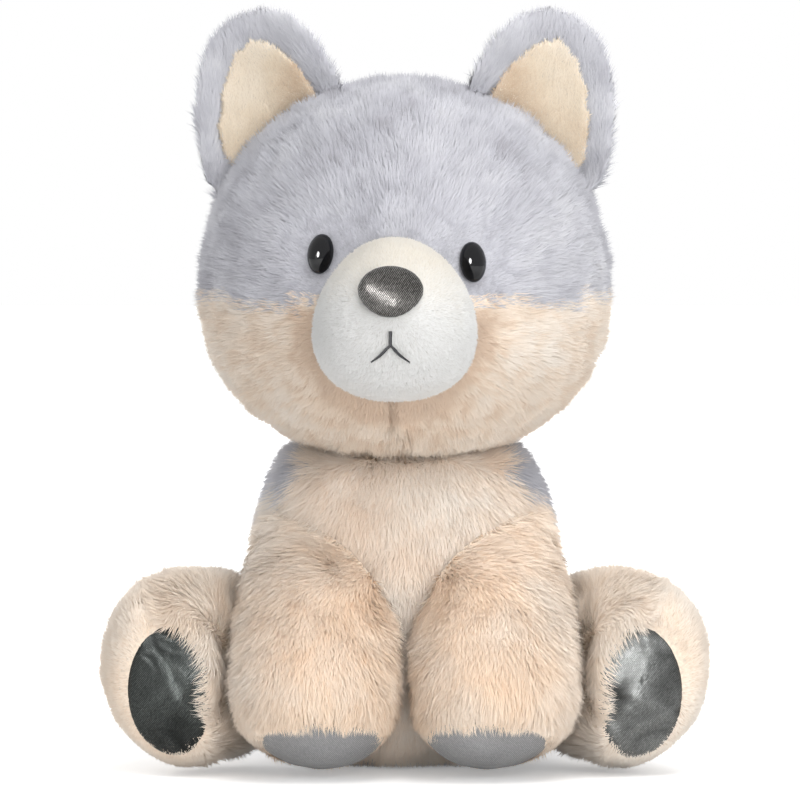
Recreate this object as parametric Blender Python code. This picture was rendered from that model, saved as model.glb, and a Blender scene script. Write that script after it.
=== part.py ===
# Sitting plush wolf. Metres, +Z up, the floor at Z = 0, the face towards -Y.
# Left and right are the toy's own, so its left side is at +X.
# It is built as it is sewn: cloth covers with their pile, parted where the seams run, each round a
# solid filling. Every bag starts as a quad ball that its form's function carries to its place. A
# cover is that form less its inside, and each bag stops where the bag that it is sewn to begins.

import math

import bmesh
import bpy
from mathutils import Matrix, Vector
from mathutils.bvhtree import BVHTree

# Cloth and seams
PILE_CLOTH = 0.0050
VELOUR_CLOTH = 0.0030
SEAM_GAP = 0.0003

# Head
HEAD_WIDTH = 0.1095
HEAD_FRONT = 0.0500
HEAD_BACK = 0.0470
HEAD_ABOVE = 0.0575
HEAD_BELOW = 0.0450
HEAD_CENTRE_Y = -0.0040
HEAD_CENTRE_Z = 0.1240
HEAD_SQUARENESS = 2.15
HEAD_TURN = -3.0
FACE_SEAM_Z = 0.1230
FACE_SEAM_BACK = 0.0180

# Muzzle
MUZZLE_WIDTH = 0.0434
MUZZLE_REACH = 0.0250
MUZZLE_ABOVE = 0.0245
MUZZLE_BELOW = 0.0185
MUZZLE_CENTRE_Z = 0.1165
MUZZLE_SUNK = 0.0030
MUZZLE_SQUARENESS = 2.3
BRIDGE_TAPER = 0.28
BRIDGE_CURVE = 1.5

# Nose and mouth
NOSE_WIDTH = 0.0172
NOSE_HEIGHT = 0.0138
NOSE_DOME = 0.0042
NOSE_CENTRE_Z = 0.1270
NOSE_TAPER = 0.18
MOUTH_THREAD = 0.0010
MOUTH_BELOW_NOSE = 0.0030
MOUTH_STEM = 0.0034
MOUTH_DROP = 0.0043
MOUTH_WIDTH = 0.0100
MOUTH_DROOP = 0.8
MOUTH_STEPS = 4

# Eyes, each with a shank through the cloth and a washer pressed on behind it
EYE_WIDTH = 0.0070
EYE_HEIGHT = 0.0106
EYE_DOME = 0.0042
EYE_BACK = 0.0022
EYE_SET_IN = 0.0010
EYE_SPACING = 0.0374
EYE_LEVEL = 0.1340
EYE_UNLEVEL = 0.0018
SHANK_DIAMETER = 0.0032
SHANK_LENGTH = 0.0095
WASHER_DIAMETER = 0.0100
WASHER_THICKNESS = 0.0014
WASHER_SLACK = 0.0012
SOCKET_DEPTH = 0.0030
SOCKET_SPREAD = 0.0100

# Ears. The length is the whole leaf's, whose lower half the head takes away.
EAR_LENGTH = 0.0800
EAR_WIDTH = 0.0450
EAR_THICKNESS = 0.0130
EAR_CUP = 0.0090
EAR_POINTEDNESS = 0.80
EAR_TIP_X = 0.0410
EAR_TIP_Y = -0.0020
EAR_TIP_Z = 0.1975
EAR_TILT = 15.5
EAR_TURN = 10.0
LINING_MARGIN = 0.0068
LINING_THICKNESS = 0.0026
LINING_FORWARD = 0.0050
LINING_POINTEDNESS = 1.2

# Torso
TORSO_HIP_WIDTH = 0.0880
TORSO_SHOULDER_WIDTH = 0.0800
TORSO_HIP_DEPTH = 0.0820
TORSO_SHOULDER_DEPTH = 0.0700
TORSO_CENTRE_Y = 0.0050
TORSO_TOP = 0.0980
TORSO_FLAT = 0.0050
TORSO_SQUARENESS = 2.7
CHEST_SEAM_Y = -0.0175

# Front legs, from the shoulder down to the paw
ARM_SHOULDER_X = 0.0285
ARM_SHOULDER_Y = -0.0100
ARM_SHOULDER_Z = 0.0770
ARM_ELBOW_X = 0.0165
ARM_ELBOW_Y = -0.0200
ARM_ELBOW_Z = 0.0390
ARM_PAW_X = 0.0265
ARM_PAW_Y = -0.0530
ARM_PAW_Z = 0.0070
ARM_SHOULDER_RADIUS = 0.0145
ARM_MIDDLE_RADIUS = 0.0270
ARM_PAW_RADIUS = 0.0260
ARM_DEPTH_SHARE = 0.90
ARM_SQUARENESS = 2.7
ARM_PAD_WIDTH = 0.0330
ARM_PAD_HEIGHT = 0.0240
ARM_PAD_INWARD = 0.0020
ARM_PAD_DROP = 0.0038

# Hind legs, from the hip out to the sole
LEG_HIP_X = 0.0300
LEG_HIP_Y = 0.0120
LEG_HIP_Z = 0.0260
LEG_KNEE_X = 0.0540
LEG_KNEE_Y = -0.0040
LEG_KNEE_Z = 0.0285
LEG_SOLE_X = 0.0643
LEG_SOLE_Y = -0.0430
LEG_SOLE_Z = 0.0265
LEG_HIP_RADIUS = 0.0210
LEG_MIDDLE_RADIUS = 0.0275
LEG_SOLE_RADIUS = 0.0285
LEG_WIDTH_SHARE = 0.80
LEG_SQUARENESS = 3.0
LEG_ROLL = 14.0
LEG_PAD_WIDTH = 0.0238
LEG_PAD_HEIGHT = 0.0350
LEG_PAD_DROP = 0.0030
LEG_PAD_INWARD = 0.0018

# Paw pads
PAD_THICKNESS = 0.0020
PAD_CUT_DEPTH = 0.0200

# Tail
TAIL_ROOT_Y = 0.0340
TAIL_ROOT_Z = 0.0220
TAIL_BEND_Y = 0.0700
TAIL_BEND_Z = 0.0100
TAIL_END_X = 0.0200
TAIL_END_Y = 0.0940
TAIL_END_Z = 0.0160
TAIL_ROOT_RADIUS = 0.0120
TAIL_MIDDLE_RADIUS = 0.0240
TAIL_END_RADIUS = 0.0140
TAIL_SQUARENESS = 2.3
TAIL_TIP_LENGTH = 0.0200

# Facets: cuts along each edge of the cube that a ball is made from, and sides of what is turned
HEAD_CUTS = 8
MUZZLE_CUTS = 5
TORSO_CUTS = 4
LIMB_CUTS = 4
TAIL_CUTS = 3
EAR_CUTS = 4
LINING_CUTS = 3
NOSE_CUTS = 4
EYE_CUTS = 3
HEAD_INSIDE_CUTS = 3
INSIDE_CUTS = 2
ROUND_SIDES = 10
PAD_SIDES = 16

# Longer than the toy, for the boxes that part the covers
FAR = 0.4

SIDES = {"left": 1.0, "right": -1.0}

GREY_PLUSH = ("grey_plush", (0.545, 0.545, 0.592), 0.95, 0.0)
CREAM_PLUSH = ("cream_plush", (0.800, 0.680, 0.560), 0.95, 0.0)
WHITE_VELOUR = ("white_velour", (0.840, 0.845, 0.830), 0.90, 0.0)
CREAM_VELOUR = ("cream_velour", (0.800, 0.690, 0.550), 0.90, 0.0)
METALLIC_CLOTH = ("metallic_cloth", (0.170, 0.180, 0.190), 0.42, 0.7)
NOSE_CLOTH = ("nose_cloth", (0.120, 0.110, 0.105), 0.32, 0.8)
BLACK_PLASTIC = ("black_plastic", (0.006, 0.006, 0.007), 0.10, 0.0)
WASHER_PLASTIC = ("washer_plastic", (0.750, 0.750, 0.740), 0.45, 0.0)
THREAD = ("thread", (0.012, 0.012, 0.016), 0.70, 0.0)
FIBRE = ("fibre", (0.850, 0.850, 0.840), 1.00, 0.0)


def clearScene():
    for old in list(bpy.data.objects):
        bpy.data.objects.remove(old, do_unlink=True)


def addCollection(name):
    made = bpy.data.collections.new(name)
    bpy.context.scene.collection.children.link(made)
    return made


def addMaterial(finish):
    name, colour, roughness, metallic = finish
    made = bpy.data.materials.get(name) or bpy.data.materials.new(name)
    made.use_nodes = True
    shader = made.node_tree.nodes["Principled BSDF"]
    shader.inputs["Base Color"].default_value = (*colour, 1.0)
    shader.inputs["Roughness"].default_value = roughness
    shader.inputs["Metallic"].default_value = metallic
    made.diffuse_color = (*colour, 1.0)
    return made


def addPart(name, mesh, finish, pose=None):
    made = bpy.data.objects.new(name, mesh)
    parts.objects.link(made)
    mesh.materials.clear()
    mesh.materials.append(addMaterial(finish))
    mesh.shade_smooth()
    return follow(made, pose)


def addCutter(name, mesh, pose=None):
    made = bpy.data.objects.new(name, mesh)
    cutters.objects.link(made)
    made.hide_render = True
    made.display_type = "WIRE"
    return follow(made, pose)


def follow(made, pose):
    # A pose turns what follows it about its own place, and leaves it where it was modelled.
    if pose:
        made.parent = pose
        made.location = -pose.location
    return made


def addBoolean(target, other, operation):
    step = target.modifiers.new(operation.lower(), "BOOLEAN")
    step.operation = operation
    step.solver = "EXACT"
    step.object = other


def cut(target, *others):
    for other in others:
        addBoolean(target, other, "DIFFERENCE")


def keepWithin(target, *others):
    for other in others:
        addBoolean(target, other, "INTERSECT")


def meshFrom(name, shape):
    mesh = bpy.data.meshes.new(name)
    shape.to_mesh(mesh)
    shape.free()
    return mesh


def quadBall(cuts):
    # A cube's grid drawn out to a ball, with its squares evened so that the facets are alike.
    ball = bmesh.new()
    bmesh.ops.create_cube(ball, size=2.0)
    bmesh.ops.subdivide_edges(ball, edges=ball.edges, cuts=cuts, use_grid_fill=True)
    for vert in ball.verts:
        vert.co = Vector([math.tan(c * math.pi / 4) for c in vert.co]).normalized()
    # Halved here, so that a form's copies at other depths bend along the same lines
    bmesh.ops.triangulate(ball, faces=ball.faces)
    return ball


def formMesh(name, pointOf, cuts, grown=0.0):
    # The ball carried to a form, and then moved out by a distance, or in where it is negative.
    ball = quadBall(cuts)
    for vert in ball.verts:
        vert.co = pointOf(vert.co.copy())
    ball.normal_update()
    moved = [vert.co + vert.normal * grown for vert in ball.verts]
    for vert, place in zip(ball.verts, moved):
        vert.co = place
    return meshFrom(name, ball)


def boxMesh(name, low, high):
    box = bmesh.new()
    bmesh.ops.create_cube(box, size=1.0)
    for vert in box.verts:
        vert.co = Vector([a + (b - a) * (c + 0.5) for a, b, c in zip(low, high, vert.co)])
    return meshFrom(name, box)


def rodMesh(name, width, height, start, end, sides):
    # An oval rod along -Y between two depths, its width along X and its height along Z.
    rod = bmesh.new()
    bmesh.ops.create_cone(rod, cap_ends=True, segments=sides, radius1=0.5, radius2=0.5, depth=1.0)
    bmesh.ops.rotate(rod, verts=rod.verts, matrix=Matrix.Rotation(math.radians(90), 3, "X"))
    for vert in rod.verts:
        vert.co = Vector((vert.co.x * width,
                          start + (end - start) * (vert.co.y + 0.5),
                          vert.co.z * height))
    bmesh.ops.recalc_face_normals(rod, faces=rod.faces)
    return meshFrom(name, rod)


def placed(mesh, matrix):
    mesh.transform(matrix)
    return mesh


def facing(place, outward):
    # Turns a piece modelled with its front to -Y so that it faces outward, its top kept up.
    away = outward.normalized()
    across = Vector((0, 0, 1)).cross(-away).normalized() * -1
    upward = across.cross(-away).normalized()
    turn = Matrix((across, -away, upward)).transposed().to_4x4()
    return Matrix.Translation(place) @ turn


def surfaceAt(mesh, x, z):
    # The front of a form at a place seen from -Y, with its outward direction there.
    shape = bmesh.new()
    shape.from_mesh(mesh)
    tree = BVHTree.FromBMesh(shape)
    shape.free()
    place, outward, _, _ = tree.ray_cast(Vector((x, -FAR, z)), Vector((0, 1, 0)))
    return place, outward


def superRadius(direction, squareness):
    # How far a ray goes in a unit ball of this squareness: 2 is round, and more is boxier.
    return sum(abs(c) ** squareness for c in direction) ** (-1.0 / squareness)


def blend3(first, middle, last, along):
    return (1 - along) ** 2 * first + 2 * along * (1 - along) * middle + along**2 * last


def onFloor(point):
    return Vector((point.x, point.y, max(point.z, 0.0)))


def eyePlace(side):
    # The eyes are not quite level, as on the sewn toy.
    return side * EYE_SPACING / 2, EYE_LEVEL - side * EYE_UNLEVEL / 2


def headPoint(direction):
    reach = superRadius(direction, HEAD_SQUARENESS)
    depth = HEAD_FRONT if direction.y < 0 else HEAD_BACK
    height = HEAD_ABOVE if direction.z > 0 else HEAD_BELOW
    scaled = Vector((HEAD_WIDTH / 2 * direction.x, depth * direction.y, height * direction.z))
    point = scaled * reach + Vector((0, HEAD_CENTRE_Y, HEAD_CENTRE_Z))
    if direction.y > 0:
        return point
    for side in SIDES.values():
        eyeX, eyeZ = eyePlace(side)
        away = math.hypot(point.x - eyeX, point.z - eyeZ) / SOCKET_SPREAD
        point.y += SOCKET_DEPTH * math.exp(-away * away)
    return point


def muzzlePoint(direction):
    reach = superRadius(direction, MUZZLE_SQUARENESS)
    height = MUZZLE_ABOVE if direction.z > 0 else MUZZLE_BELOW
    narrowing = 1 - BRIDGE_TAPER * max(direction.z, 0.0) ** BRIDGE_CURVE
    scaled = Vector((MUZZLE_WIDTH / 2 * narrowing * direction.x,
                     MUZZLE_REACH * direction.y,
                     height * direction.z))
    centre = Vector((0, HEAD_CENTRE_Y - HEAD_FRONT + MUZZLE_SUNK, MUZZLE_CENTRE_Z))
    return scaled * reach + centre


def torsoPoint(direction):
    reach = superRadius(direction, TORSO_SQUARENESS)
    along = (1 + direction.z) / 2
    width = TORSO_HIP_WIDTH + (TORSO_SHOULDER_WIDTH - TORSO_HIP_WIDTH) * along
    depth = TORSO_HIP_DEPTH + (TORSO_SHOULDER_DEPTH - TORSO_HIP_DEPTH) * along
    half = (TORSO_TOP + TORSO_FLAT) / 2
    scaled = Vector((width / 2 * direction.x, depth / 2 * direction.y, half * direction.z))
    return onFloor(scaled * reach + Vector((0, TORSO_CENTRE_Y, TORSO_TOP - half)))


def sweptPoint(direction, spine, radii, sideways, depthShare, squareness):
    # A limb. The ball's poles are the ends of its spine, and the ball's rings are its sections.
    first, middle, last = (Vector(place) for place in spine)
    ring = max(math.hypot(direction.x, direction.y), 1e-6)
    along = (1 + math.copysign(abs(direction.z) ** (2 / squareness), direction.z)) / 2
    place = blend3(first, middle, last, along)
    tangent = ((middle - first) * (1 - along) + (last - middle) * along).normalized()
    across = (sideways - tangent * tangent.dot(sideways)).normalized()
    upward = tangent.cross(across)
    radius = blend3(*radii, along) * ring ** (2 / squareness - 1)
    point = place + across * radius * direction.x + upward * radius * depthShare * direction.y
    return onFloor(point)


def armSpine(side):
    return ((side * ARM_SHOULDER_X, ARM_SHOULDER_Y, ARM_SHOULDER_Z),
            (side * ARM_ELBOW_X, ARM_ELBOW_Y, ARM_ELBOW_Z),
            (side * ARM_PAW_X, ARM_PAW_Y, ARM_PAW_Z))


def legSpine(side):
    return ((side * LEG_HIP_X, LEG_HIP_Y, LEG_HIP_Z),
            (side * LEG_KNEE_X, LEG_KNEE_Y, LEG_KNEE_Z),
            (side * LEG_SOLE_X, LEG_SOLE_Y, LEG_SOLE_Z))


def tailSpine():
    return ((0.0, TAIL_ROOT_Y, TAIL_ROOT_Z),
            (0.0, TAIL_BEND_Y, TAIL_BEND_Z),
            (TAIL_END_X, TAIL_END_Y, TAIL_END_Z))


def armForm(side):
    spine = armSpine(side)
    radii = (ARM_SHOULDER_RADIUS, ARM_MIDDLE_RADIUS, ARM_PAW_RADIUS)
    sideways = Vector((1, 0, 0))
    return lambda d: sweptPoint(d, spine, radii, sideways, ARM_DEPTH_SHARE, ARM_SQUARENESS)


def legForm(side):
    # The section leans outward at its top, so that the sole rests on its inner edge.
    spine = legSpine(side)
    radii = (LEG_HIP_RADIUS, LEG_MIDDLE_RADIUS, LEG_SOLE_RADIUS)
    roll = math.radians(LEG_ROLL)
    sideways = Vector((side * math.sin(roll), 0, math.cos(roll)))
    return lambda d: sweptPoint(d, spine, radii, sideways, LEG_WIDTH_SHARE, LEG_SQUARENESS)


def tailPoint(direction):
    radii = (TAIL_ROOT_RADIUS, TAIL_MIDDLE_RADIUS, TAIL_END_RADIUS)
    return sweptPoint(direction, tailSpine(), radii, Vector((0, 0, 1)), 1.0, TAIL_SQUARENESS)


def earForm(margin, thickness, forward, pointedness):
    # A cupped leaf with its tip at the origin, hanging down -Z, its hollow towards -Y.
    def earPoint(direction):
        ring = max(math.hypot(direction.x, direction.y), 1e-6)
        swell = ring ** (pointedness - 1)
        x = (EAR_WIDTH / 2 - margin) * direction.x * swell
        z = (EAR_LENGTH / 2 - margin) * direction.z - EAR_LENGTH / 2
        cup = EAR_CUP * (2 * x / EAR_WIDTH) ** 2
        return Vector((x, thickness / 2 * direction.y * swell - cup - forward, z))
    return earPoint


def earMatrix(side):
    tilt = Matrix.Rotation(math.radians(side * EAR_TILT), 4, "Y")
    turn = Matrix.Rotation(math.radians(side * EAR_TURN), 4, "Z")
    return Matrix.Translation((side * EAR_TIP_X, EAR_TIP_Y, EAR_TIP_Z)) @ tilt @ turn


def addBag(name, pointOf, cuts, insideCuts, cloth, finish, pose=None):
    # One bag's cover, still whole, with its filling.
    cover = addPart(name + "_cover", formMesh(name, pointOf, cuts), finish, pose)
    inside = addCutter(name + "_inside", formMesh(name, pointOf, insideCuts, -cloth), pose)
    cut(cover, inside)
    fill = formMesh(name, pointOf, insideCuts, -cloth - SEAM_GAP)
    return cover, addPart(name + "_filling", fill, FIBRE, pose), inside


def addNeighbour(name, pointOf, cuts, pose=None):
    # What a bag takes from those that are sewn to it.
    return addCutter(name + "_clear", formMesh(name, pointOf, cuts, SEAM_GAP), pose)


def halfGap(side=1.0):
    return side * SEAM_GAP / 2


def buildHead(pose):
    crown, filling, inside = addBag(
        "head_crown", headPoint, HEAD_CUTS, HEAD_INSIDE_CUTS, PILE_CLOTH, GREY_PLUSH, pose)
    filling.name = "head_filling"
    top = FACE_SEAM_Z + halfGap()
    back = FACE_SEAM_BACK + halfGap()
    face = addCutter("face_region", boxMesh("face", (-FAR, -FAR, -FAR), (FAR, back, top)), pose)
    cut(crown, face)
    covers = [crown]
    for label, side in SIDES.items():
        cheek = addPart("head_cheek_cover_" + label, formMesh("cheek", headPoint, HEAD_CUTS),
                        CREAM_PLUSH, pose)
        low = (min(halfGap(), side * FAR), -FAR, -FAR)
        high = (max(-halfGap(), side * FAR), back - SEAM_GAP, top - SEAM_GAP)
        region = addCutter("cheek_region_" + label, boxMesh("cheek", low, high), pose)
        cut(cheek, inside)
        keepWithin(cheek, region)
        covers.append(cheek)
    return covers, filling


def buildMuzzle(pose, head):
    cover, filling, _ = addBag(
        "muzzle", muzzlePoint, MUZZLE_CUTS, INSIDE_CUTS, VELOUR_CLOTH, WHITE_VELOUR, pose)
    cut(cover, head)
    cut(filling, head)
    return cover


def nosePoint(direction):
    # A padded oval, drawn to a soft point below.
    narrowing = 1 - NOSE_TAPER * max(-direction.z, 0.0)
    return Vector((NOSE_WIDTH / 2 * direction.x * narrowing,
                   NOSE_DOME * direction.y,
                   NOSE_HEIGHT / 2 * direction.z))


def buildNose(pose, muzzle, muzzleClear):
    place, outward = surfaceAt(muzzle.data, 0.0, NOSE_CENTRE_Z)
    mesh = placed(formMesh("nose", nosePoint, NOSE_CUTS), facing(place, outward))
    cut(addPart("nose", mesh, NOSE_CLOTH, pose), muzzleClear)


def threadAlong(muzzle, places):
    # A thread laid on the muzzle through places seen from the front.
    curve = bpy.data.curves.new("thread", "CURVE")
    curve.dimensions = "3D"
    curve.bevel_depth = MOUTH_THREAD / 2
    curve.bevel_resolution = 1
    curve.use_fill_caps = True
    spline = curve.splines.new("POLY")
    spline.points.add(len(places) - 1)
    for point, (x, z) in zip(spline.points, places):
        place, outward = surfaceAt(muzzle.data, x, z)
        point.co = (*(place + outward * (MOUTH_THREAD / 2 + SEAM_GAP)), 1.0)
    holder = bpy.data.objects.new("thread", curve)
    parts.objects.link(holder)
    shape = bmesh.new()
    shape.from_mesh(bpy.data.meshes.new_from_object(holder.evaluated_get(depsgraph())))
    bmesh.ops.remove_doubles(shape, verts=shape.verts, dist=0.00001)
    bpy.data.objects.remove(holder, do_unlink=True)
    return meshFrom("thread", shape)


def depsgraph():
    bpy.context.view_layer.update()
    return bpy.context.evaluated_depsgraph_get()


def buildMouth(pose, muzzle):
    # A short stem that forks into two drooping lines.
    top = NOSE_CENTRE_Z - NOSE_HEIGHT / 2 - MOUTH_BELOW_NOSE
    stem = [(0.0, top), (0.0, top - MOUTH_STEM / 2), (0.0, top - MOUTH_STEM)]
    fork = []
    for step in range(-MOUTH_STEPS, MOUTH_STEPS + 1):
        share = step / MOUTH_STEPS
        fall = MOUTH_DROP * abs(share) ** MOUTH_DROOP
        fork.append((share * MOUTH_WIDTH / 2, top - MOUTH_STEM - fall))
    mouth = addPart("mouth_stitches", threadAlong(muzzle, fork), THREAD, pose)
    addBoolean(mouth, addCutter("mouth_stem", threadAlong(muzzle, stem), pose), "UNION")


def eyePoint(direction):
    # An oval dome with a flat back.
    return Vector((EYE_WIDTH / 2 * direction.x,
                   EYE_DOME * direction.y if direction.y < 0 else EYE_BACK * direction.y,
                   EYE_HEIGHT / 2 * direction.z))


def buildEye(label, side, pose, covers, muzzle, filling):
    x, z = eyePlace(side)
    place, outward = surfaceAt(formMesh("head", headPoint, HEAD_CUTS), x, z)
    matrix = facing(place - outward * EYE_SET_IN, outward)
    # Depths along the eye's own axis, inwards from its widest section
    washerFront = PILE_CLOTH - EYE_SET_IN + WASHER_SLACK
    washerBack = washerFront + WASHER_THICKNESS
    eye = addPart("eye_" + label, placed(formMesh("eye", eyePoint, EYE_CUTS), matrix),
                  BLACK_PLASTIC, pose)
    shank = rodMesh("shank", SHANK_DIAMETER, SHANK_DIAMETER, 0.0, SHANK_LENGTH, ROUND_SIDES)
    addBoolean(eye, addCutter("shank_" + label, placed(shank, matrix), pose), "UNION")
    dome = addCutter("eye_clear_" + label,
                     placed(formMesh("eye", eyePoint, EYE_CUTS, SEAM_GAP), matrix), pose)
    wide = SHANK_DIAMETER + 2 * SEAM_GAP
    hole = addCutter("shank_clear_" + label, placed(
        rodMesh("hole", wide, wide, 0.0, SHANK_LENGTH + SEAM_GAP, ROUND_SIDES), matrix), pose)
    for cover in covers:
        cut(cover, dome, hole)
    cut(muzzle, dome)
    washer = addPart("eye_washer_" + label, placed(
        rodMesh("washer", WASHER_DIAMETER, WASHER_DIAMETER, washerFront, washerBack, ROUND_SIDES),
        matrix), WASHER_PLASTIC, pose)
    cut(washer, hole)
    room = WASHER_DIAMETER + 2 * SEAM_GAP
    pocket = addCutter("washer_room_" + label, placed(
        rodMesh("pocket", room, room, 0.0, washerBack + SEAM_GAP, ROUND_SIDES), matrix), pose)
    cut(filling, pocket, hole)


def buildEar(label, side, pose, head):
    leaf = earForm(0.0, EAR_THICKNESS, 0.0, EAR_POINTEDNESS)
    back = placed(formMesh("ear", leaf, EAR_CUTS), earMatrix(side))
    ear = addPart("ear_cover_" + label, back, GREY_PLUSH, pose)
    lining = earForm(LINING_MARGIN, LINING_THICKNESS, LINING_FORWARD, LINING_POINTEDNESS)
    front = placed(formMesh("lining", lining, LINING_CUTS), earMatrix(side))
    clear = placed(formMesh("lining", lining, LINING_CUTS, SEAM_GAP), earMatrix(side))
    cut(ear, head, addCutter("lining_clear_" + label, clear, pose))
    cut(addPart("ear_lining_" + label, front, CREAM_VELOUR, pose), head)


def buildTorso(head):
    back, filling, inside = addBag(
        "body_back", torsoPoint, TORSO_CUTS, INSIDE_CUTS, PILE_CLOTH, GREY_PLUSH)
    filling.name = "body_filling"
    chest = addPart("body_chest_cover", formMesh("chest", torsoPoint, TORSO_CUTS), CREAM_PLUSH)
    behind = boxMesh("behind", (-FAR, CHEST_SEAM_Y + halfGap(), -FAR), (FAR, FAR, FAR))
    before = boxMesh("before", (-FAR, -FAR, -FAR), (FAR, CHEST_SEAM_Y - halfGap(), FAR))
    keepWithin(back, addCutter("back_region", behind))
    cut(chest, inside)
    keepWithin(chest, addCutter("chest_region", before))
    for piece in (back, chest, filling):
        cut(piece, head)


def addPad(name, limb, covers, pointOf, spine, size, shift):
    # A pad of thin cloth in a hole in the cover, recessed to the foot of the pile.
    end = Vector(spine[2])
    outward = (end - Vector(spine[1])).normalized()
    width, height = size
    moved = Matrix.Translation((shift[0], 0, shift[1]))
    matrix = facing(end - outward * PAD_CUT_DEPTH, outward) @ moved
    oval = placed(rodMesh("oval", width, height, -FAR, 0.0, PAD_SIDES), matrix)
    grown = SEAM_GAP * 2
    hole = placed(
        rodMesh("hole", width + grown, height + grown, -FAR, SEAM_GAP, PAD_SIDES), matrix)
    cut(limb, addCutter(name + "_hole", hole))
    pad = addPart(name, formMesh("pad", pointOf, LIMB_CUTS, PAD_THICKNESS - PILE_CLOTH),
                  METALLIC_CLOTH)
    cut(pad, addCutter(name + "_behind", formMesh("behind", pointOf, INSIDE_CUTS, -PILE_CLOTH)))
    keepWithin(pad, addCutter(name + "_oval", oval))
    cut(pad, *covers)
    return pad


def buildArm(label, side, clears):
    pointOf = armForm(side)
    name = "front_leg_" + label
    cover, filling, _ = addBag(name, pointOf, LIMB_CUTS, INSIDE_CUTS, PILE_CLOTH, CREAM_PLUSH)
    low = (min(-halfGap(), -side * FAR), -FAR, -FAR)
    high = (max(halfGap(), -side * FAR), FAR, FAR)
    beyond = addCutter(name + "_beyond", boxMesh("beyond", low, high))
    for piece in (cover, filling):
        cut(piece, beyond, *clears)
    addPad("front_paw_pad_" + label, cover, [beyond], pointOf, armSpine(side),
           (ARM_PAD_WIDTH, ARM_PAD_HEIGHT), (-side * ARM_PAD_INWARD, -ARM_PAD_DROP))
    return addNeighbour(name, pointOf, LIMB_CUTS)


def buildLeg(label, side, clears):
    pointOf = legForm(side)
    name = "hind_leg_" + label
    cover, filling, _ = addBag(name, pointOf, LIMB_CUTS, INSIDE_CUTS, PILE_CLOTH, CREAM_PLUSH)
    for piece in (cover, filling):
        cut(piece, *clears)
    addPad("hind_paw_pad_" + label, cover, clears, pointOf, legSpine(side),
           (LEG_PAD_WIDTH, LEG_PAD_HEIGHT), (-side * LEG_PAD_INWARD, -LEG_PAD_DROP))


def buildTail(body):
    cover, filling, inside = addBag(
        "tail", tailPoint, TAIL_CUTS, INSIDE_CUTS, PILE_CLOTH, GREY_PLUSH)
    tip = addPart("tail_tip_cover", formMesh("tip", tailPoint, TAIL_CUTS), CREAM_PLUSH)
    _, bend, end = (Vector(place) for place in tailSpine())
    outward = (end - bend).normalized()
    matrix = facing(end - outward * TAIL_TIP_LENGTH, outward)
    ahead = rodMesh("ahead", FAR, FAR, -FAR, -halfGap(), ROUND_SIDES)
    behind = rodMesh("behind", FAR, FAR, halfGap(), FAR, ROUND_SIDES)
    cut(tip, inside)
    keepWithin(tip, addCutter("tail_tip_region", placed(ahead, matrix)))
    keepWithin(cover, addCutter("tail_region", placed(behind, matrix)))
    for piece in (cover, filling):
        cut(piece, body)


clearScene()
parts = addCollection("plush_wolf")
cutters = addCollection("cutters")

headPose = bpy.data.objects.new("head_pose", None)
parts.objects.link(headPose)
headPose.location = (0.0, HEAD_CENTRE_Y, HEAD_CENTRE_Z)
headPose.rotation_euler = (0.0, 0.0, math.radians(HEAD_TURN))

headClear = addNeighbour("head", headPoint, HEAD_CUTS, headPose)
muzzleClear = addNeighbour("muzzle", muzzlePoint, MUZZLE_CUTS, headPose)
torsoClear = addNeighbour("torso", torsoPoint, TORSO_CUTS)

headCovers, headFilling = buildHead(headPose)
muzzle = buildMuzzle(headPose, headClear)
buildNose(headPose, muzzle, muzzleClear)
buildMouth(headPose, muzzle)
for label, side in SIDES.items():
    buildEye(label, side, headPose, headCovers, muzzle, headFilling)
    buildEar(label, side, headPose, headClear)
buildTorso(headClear)
for label, side in SIDES.items():
    armClear = buildArm(label, side, [headClear, torsoClear])
    buildLeg(label, side, [torsoClear, armClear])
buildTail(torsoClear)
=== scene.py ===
import math

import bmesh
import bpy
import numpy as np
from mathutils import Matrix, Vector
from mathutils.bvhtree import BVHTree


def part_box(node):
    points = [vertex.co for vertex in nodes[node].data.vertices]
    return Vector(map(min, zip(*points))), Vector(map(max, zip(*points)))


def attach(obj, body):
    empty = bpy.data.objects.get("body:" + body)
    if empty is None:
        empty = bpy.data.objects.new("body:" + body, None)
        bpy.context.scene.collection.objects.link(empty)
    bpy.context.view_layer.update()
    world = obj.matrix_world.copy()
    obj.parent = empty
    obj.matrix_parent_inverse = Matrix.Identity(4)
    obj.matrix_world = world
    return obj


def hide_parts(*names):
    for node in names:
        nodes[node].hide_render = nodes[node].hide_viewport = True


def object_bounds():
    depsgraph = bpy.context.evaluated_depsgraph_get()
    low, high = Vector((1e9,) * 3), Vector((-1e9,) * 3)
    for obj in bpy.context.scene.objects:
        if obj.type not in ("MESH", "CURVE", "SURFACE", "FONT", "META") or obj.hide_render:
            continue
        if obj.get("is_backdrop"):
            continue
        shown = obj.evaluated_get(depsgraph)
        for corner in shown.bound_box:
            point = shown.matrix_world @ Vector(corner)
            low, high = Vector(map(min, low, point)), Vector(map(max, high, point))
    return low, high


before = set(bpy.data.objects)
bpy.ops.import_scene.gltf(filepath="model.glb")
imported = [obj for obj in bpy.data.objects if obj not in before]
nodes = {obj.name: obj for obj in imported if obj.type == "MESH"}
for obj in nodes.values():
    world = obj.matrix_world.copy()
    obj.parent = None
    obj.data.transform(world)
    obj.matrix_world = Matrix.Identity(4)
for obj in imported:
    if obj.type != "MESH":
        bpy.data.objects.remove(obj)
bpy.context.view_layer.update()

# Sitting plush wolf: each sewn bag gets a smooth skin over its solids, and a pile that grows from it.
# Metres throughout, the face towards -Y, the toy's own left at +X.

sides = {"left": 1.0, "right": -1.0}


# Meshes from the frame

def mergedCopy(names):
    # The solids of some nodes as one welded bmesh
    shape = bmesh.new()
    for name in names:
        shape.from_mesh(nodes[name].data)
    bmesh.ops.remove_doubles(shape, verts=shape.verts, dist=0.00001)
    return shape


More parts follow.
